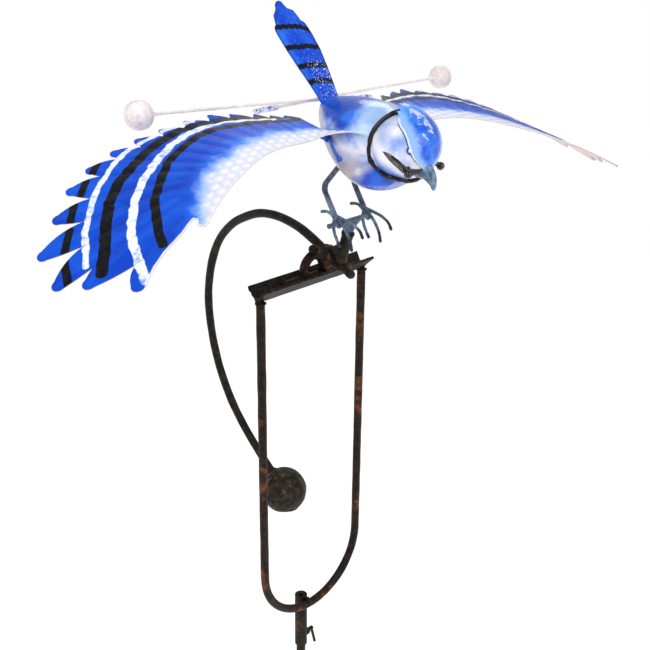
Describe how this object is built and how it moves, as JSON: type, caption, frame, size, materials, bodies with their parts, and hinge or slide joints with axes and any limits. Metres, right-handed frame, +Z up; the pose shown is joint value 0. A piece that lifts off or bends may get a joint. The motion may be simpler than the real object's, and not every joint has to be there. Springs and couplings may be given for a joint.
{
  "type": "rocking bird wind spinner",
  "caption": "Rocking bird wind spinner: a painted metal bird on a pivot with a long counterweight arm, flapping wings and a ground stake.",
  "frame": {"origin": "on the pole's axis at the ground line, where the pole's shoulder meets the spike", "axes": "+Z up the pole, +X the way the bird faces, +Y the bird's left side"},
  "size_m": [0.3432, 0.7356, 1.6345],
  "materials": {
    "rusted_bar": "rough",
    "rusted_ball": "rough",
    "blue_paint": "satin",
    "pale_paint": "satin",
    "slate_paint": "satin",
    "black_paint": "gloss",
    "white_paint": "satin"
  },
  "bodies": {
    "stake": {"pole": "rusted_bar"},
    "yoke": {"socket_tube": "rusted_bar", "clamp_nut": "rusted_bar", "yoke_bar": "rusted_bar", "crossbar": "rusted_bar"},
    "clamp_screw_body": {"clamp_screw": "rusted_bar"},
    "rocker": {"pivot_pin": "rusted_bar", "saddle_arch": "rusted_bar", "counterweight_arm": "rusted_bar", "counterweight_ball": "rusted_ball", "stub_rod": "rusted_bar", "neck_tube": "rusted_bar", "neck_nut": "rusted_bar", "neck_screw": "rusted_bar", "foot_bracket": "slate_paint", "perch_rod": "slate_paint", "right_leg": "slate_paint", "left_leg": "slate_paint", "right_toes": "slate_paint", "left_toes": "slate_paint", "body_shell_right": "blue_paint", "body_shell_left": "blue_paint", "head_shell": "pale_paint", "collar_ring": "black_paint", "crest_plate": "blue_paint", "crest_rivets": "pale_paint", "beak": "slate_paint", "right_eye": "black_paint", "left_eye": "black_paint", "tail_blade": "blue_paint", "tail_tab": "blue_paint", "right_hinge_pin": "blue_paint", "left_hinge_pin": "blue_paint"},
    "right_wing_body": {"right_hinge_tube": "blue_paint", "right_wing": "blue_paint", "right_wing_rod": "white_paint", "right_wing_ball": "white_paint"},
    "left_wing_body": {"left_hinge_tube": "blue_paint", "left_wing": "blue_paint", "left_wing_rod": "white_paint", "left_wing_ball": "white_paint"}
  },
  "joints": [
    {"name": "yoke_turn", "type": "hinge", "parent": "stake", "child": "yoke", "pos_m": [0, 0, 0.71], "axis": [0, 0, 1], "continuous": true},
    {"name": "clamp_screw_turn", "type": "hinge", "parent": "yoke", "child": "clamp_screw_body", "pos_m": [0, 0, 0.684], "axis": [0, 1, 0], "continuous": true},
    {"name": "rock", "type": "hinge", "parent": "yoke", "child": "rocker", "pos_m": [0.01225, 0.006, 1.16032], "axis": [0, 1, 0], "range_deg": [-20, 20]},
    {"name": "right_wing_flap", "type": "hinge", "parent": "rocker", "child": "right_wing_body", "pos_m": [0.06425, -0.041, 1.32574], "axis": [-0.9781, 0, 0.2079], "range_deg": [-15, 0]},
    {"name": "left_wing_flap", "type": "hinge", "parent": "rocker", "child": "left_wing_body", "pos_m": [0.06425, 0.053, 1.32574], "axis": [0.9781, 0, -0.2079], "range_deg": [-15, 0]}
  ]
}
